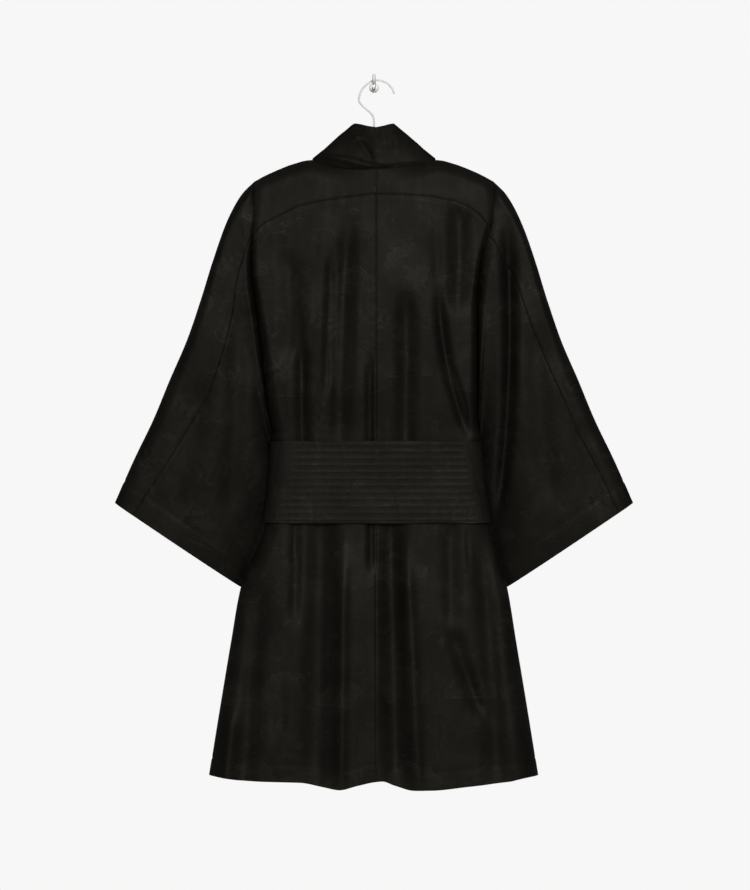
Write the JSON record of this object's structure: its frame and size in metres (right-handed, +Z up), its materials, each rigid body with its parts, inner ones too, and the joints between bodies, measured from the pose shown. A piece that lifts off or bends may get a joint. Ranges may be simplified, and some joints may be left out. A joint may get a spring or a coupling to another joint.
{
  "type": "kimono robe on a hanger with its wall hook",
  "caption": "Black satin kimono robe with wide sleeves, a shawl-like collar band and a stitched sash, hung from a wire-hook hanger on a small wall hook.",
  "frame": {"origin": "middle of the wall hook's plate, on the wall plane", "axes": "+Z up, +Y into the wall, -Y towards the room, which the back of the robe faces, -X the wearer's left"},
  "size_m": [0.7524, 0.1078, 1.0318],
  "materials": {
    "jacquard": "satin jacquard, tone on tone",
    "collar_band": "satin jacquard, doubled",
    "sash": "stitched satin",
    "hanger_wire": "white semi-gloss",
    "hanger_bar": "white satin",
    "hook_paint": "white semi-gloss"
  },
  "bodies": {
    "root": {"back_left": "jacquard", "back_right": "jacquard", "yoke_left": "jacquard", "yoke_right": "jacquard", "front_left": "jacquard", "front_right": "jacquard", "sleeve_back_left": "jacquard", "sleeve_back_right": "jacquard", "sleeve_top_left": "jacquard", "sleeve_top_right": "jacquard", "collar_left": "collar_band", "collar_right": "collar_band", "belt_back": "sash", "belt_tie_left": "sash", "belt_tie_right": "sash", "belt_knot": "sash", "belt_tail_left": "sash", "belt_tail_right": "sash", "hanger_hook": "hanger_wire", "hanger_bar": "hanger_bar", "wall_hook": "hook_paint"}
  },
  "joints": []
}
